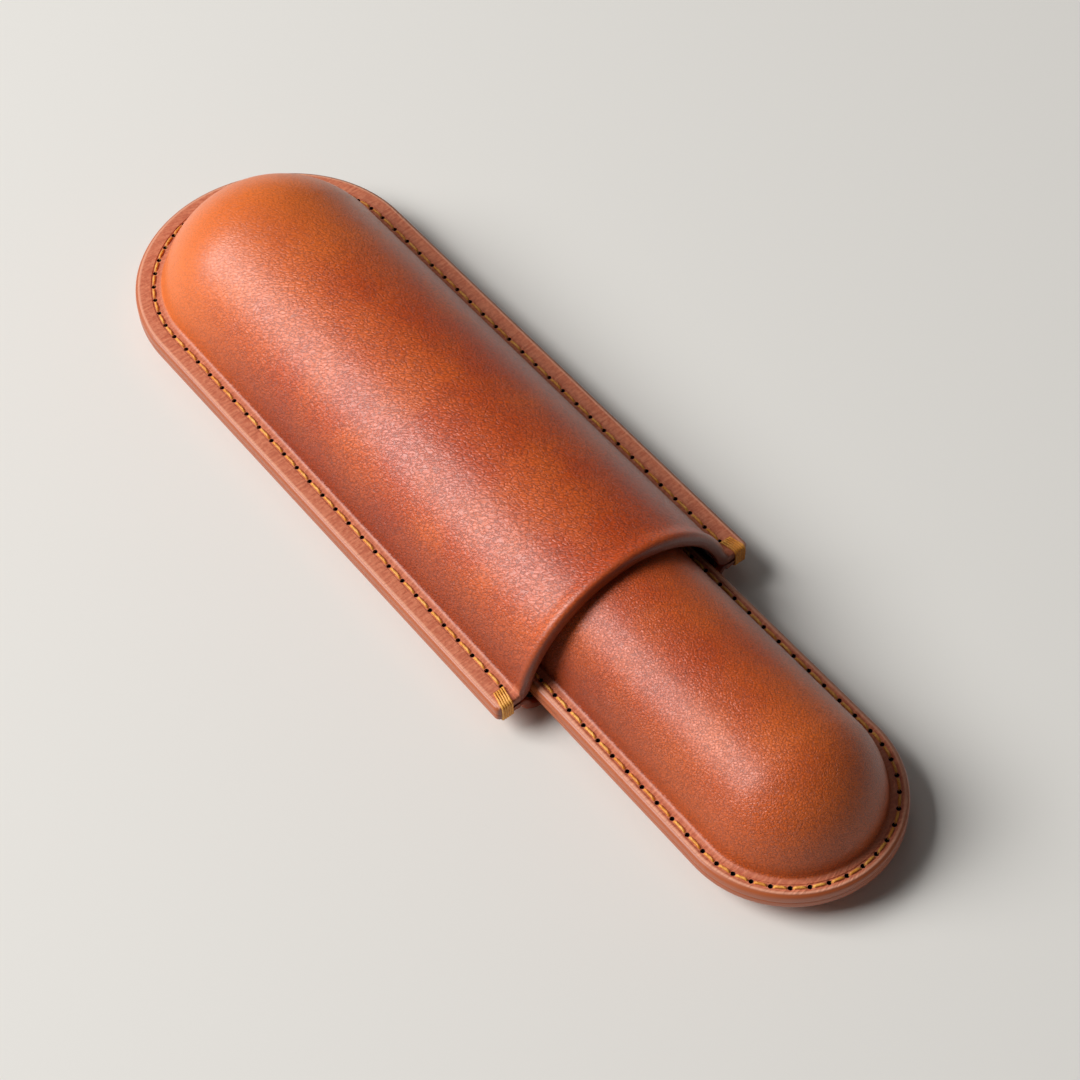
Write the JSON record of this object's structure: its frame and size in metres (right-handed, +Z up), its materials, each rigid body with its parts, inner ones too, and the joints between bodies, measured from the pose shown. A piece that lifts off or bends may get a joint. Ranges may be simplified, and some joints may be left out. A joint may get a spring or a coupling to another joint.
{
  "type": "fountain pen case",
  "caption": "Telescoping leather pen case: a moulded cap with a stitched flange slides over a smaller lined body, which holds fountain pens lengthwise.",
  "frame": {"origin": "centre of the case's footprint as pictured, partly drawn out, on the surface that the cap rests on", "axes": "+X along the case from the cap's closed end to the body's closed end, +Y to the left, +Z up"},
  "size_m": [0.1674, 0.0478, 0.0219],
  "materials": {
    "cap_leather": "waxed pull-up leather, satin, cognac brown",
    "body_leather": "waxed pull-up leather, satin, cognac brown",
    "lining": "thin napped lining, dark brown, matt",
    "thread": "twisted sewing thread, golden mustard"
  },
  "bodies": {
    "cap": {"cap_top_shell": "cap_leather", "cap_bottom_shell": "cap_leather", "cap_top_lining": "lining", "cap_bottom_lining": "lining", "cap_top_stitches": "thread", "cap_bottom_stitches": "thread", "cap_left_bar_tack": "thread", "cap_right_bar_tack": "thread"},
    "body": {"body_top_shell": "body_leather", "body_bottom_shell": "body_leather", "body_top_lining": "lining", "body_bottom_lining": "lining", "body_top_stitches": "thread", "body_bottom_stitches": "thread", "body_left_bar_tack": "thread", "body_right_bar_tack": "thread"}
  },
  "joints": [
    {"name": "body_slide", "type": "slide", "parent": "cap", "child": "body", "axis": [1, 0, 0], "range_m": [-0.012, 0.085]}
  ]
}
